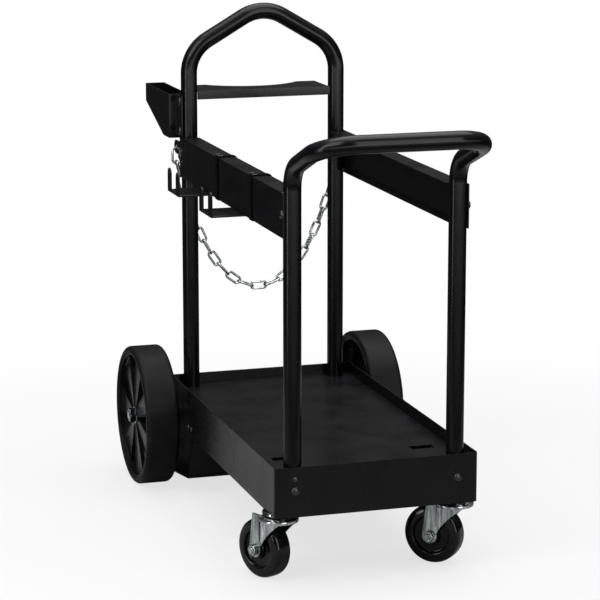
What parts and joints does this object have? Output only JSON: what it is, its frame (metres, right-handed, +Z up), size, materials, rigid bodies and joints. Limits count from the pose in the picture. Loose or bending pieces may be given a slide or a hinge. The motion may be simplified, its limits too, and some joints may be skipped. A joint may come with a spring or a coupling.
{
  "type": "welding cart",
  "caption": "Black steel welding cart: shallow tray on front swivel casters and large rear wheels, bent-tube hoops, side rails, cable hooks, torch pocket, gas cylinder platform and chain.",
  "frame": {"origin": "on the floor, at the centre of the bounding box's bottom face", "axes": "+Z up, -Y towards the push handle (front), +Y towards the gas cylinder, +X to the right of a person who faces the rear from the handle"},
  "size_m": [0.4904, 1.0354, 0.863],
  "materials": {
    "powder_coat": "semi-gloss black powder coat on steel sheet and tube",
    "zinc_plate": "bright zinc plate",
    "black_zinc": "glossy black zinc plate on dome-head bolts",
    "black_polymer": "moulded black polymer, satin",
    "tyre_rubber": "solid black rubber, matt",
    "bush_bronze": "plain sintered bronze",
    "strap_webbing": "woven black webbing"
  },
  "bodies": {
    "frame": {"base_frame": "powder_coat", "deck_plate": "powder_coat", "caster_channel": "powder_coat", "front_hoop": "powder_coat", "rear_hoop": "powder_coat", "rail_left": "powder_coat", "rail_right": "powder_coat", "cable_hook_front": "powder_coat", "cable_hook_rear": "powder_coat", "torch_pocket": "powder_coat", "cylinder_cradle": "powder_coat", "cylinder_platform": "powder_coat", "axle": "zinc_plate", "axle_spacer_left": "zinc_plate", "axle_spacer_right": "zinc_plate", "axle_washer_left": "zinc_plate", "axle_washer_right": "zinc_plate", "axle_nut_left": "zinc_plate", "axle_nut_right": "zinc_plate", "caster_left_top": "zinc_plate", "caster_left_race": "zinc_plate", "caster_left_kingpin": "zinc_plate", "caster_right_top": "zinc_plate", "caster_right_race": "zinc_plate", "caster_right_kingpin": "zinc_plate", "front_post_bolt_left": "black_zinc", "front_post_bolt_right": "black_zinc", "deck_screw_front_left": "black_zinc", "rail_bolt_left_front": "black_zinc", "rail_bolt_left_rear": "black_zinc", "rail_bolt_right_front": "black_zinc", "rail_bolt_right_rear": "black_zinc", "pocket_bolt_lower": "black_zinc", "pocket_bolt_upper": "black_zinc", "platform_bolt_left_front": "black_zinc", "platform_bolt_left_rear": "black_zinc", "platform_bolt_right_front": "black_zinc", "platform_bolt_right_rear": "black_zinc", "rail_strap_front": "strap_webbing", "rail_strap_rear": "strap_webbing"},
    "rear_wheel_left": {"rear_wheel_left_core": "black_polymer", "rear_wheel_left_tyre": "tyre_rubber", "rear_wheel_left_bush": "bush_bronze"},
    "caster_left_swivel": {"caster_left_fork": "zinc_plate", "caster_left_axle": "zinc_plate", "caster_left_nut": "zinc_plate"},
    "caster_left_roller": {"caster_left_wheel": "black_polymer"},
    "rear_wheel_right": {"rear_wheel_right_core": "black_polymer", "rear_wheel_right_tyre": "tyre_rubber", "rear_wheel_right_bush": "bush_bronze"},
    "caster_right_swivel": {"caster_right_fork": "zinc_plate", "caster_right_axle": "zinc_plate", "caster_right_nut": "zinc_plate"},
    "caster_right_roller": {"caster_right_wheel": "black_polymer"},
    "chain": {"safety_chain": "zinc_plate", "chain_hook_left": "zinc_plate", "chain_hook_right": "zinc_plate"}
  },
  "joints": [
    {"name": "rear_wheel_left_spin", "type": "hinge", "parent": "frame", "child": "rear_wheel_left", "pos_m": [-0.2095, 0.29675, 0.1245], "axis": [1, 0, 0], "continuous": true},
    {"name": "caster_left_turn", "type": "hinge", "parent": "frame", "child": "caster_left_swivel", "pos_m": [-0.148, -0.32425, 0.0485], "axis": [0, 0, 1], "continuous": true},
    {"name": "caster_left_roll", "type": "hinge", "parent": "caster_left_swivel", "child": "caster_left_roller", "pos_m": [-0.16264, -0.29356, 0.0485], "axis": [0.9026, 0.4305, 0], "continuous": true},
    {"name": "rear_wheel_right_spin", "type": "hinge", "parent": "frame", "child": "rear_wheel_right", "pos_m": [0.2095, 0.29675, 0.1245], "axis": [1, 0, 0], "continuous": true},
    {"name": "caster_right_turn", "type": "hinge", "parent": "frame", "child": "caster_right_swivel", "pos_m": [0.148, -0.32425, 0.0485], "axis": [0, 0, 1], "continuous": true},
    {"name": "caster_right_roll", "type": "hinge", "parent": "caster_right_swivel", "child": "caster_right_roller", "pos_m": [0.12354, -0.30063, 0.0485], "axis": [0.6947, 0.7193, 0], "continuous": true},
    {"name": "chain_swing", "type": "hinge", "parent": "frame", "child": "chain", "pos_m": [0, 0.29575, 0.6077], "axis": [1, 0, 0], "range_deg": [-4, 90]}
  ]
}
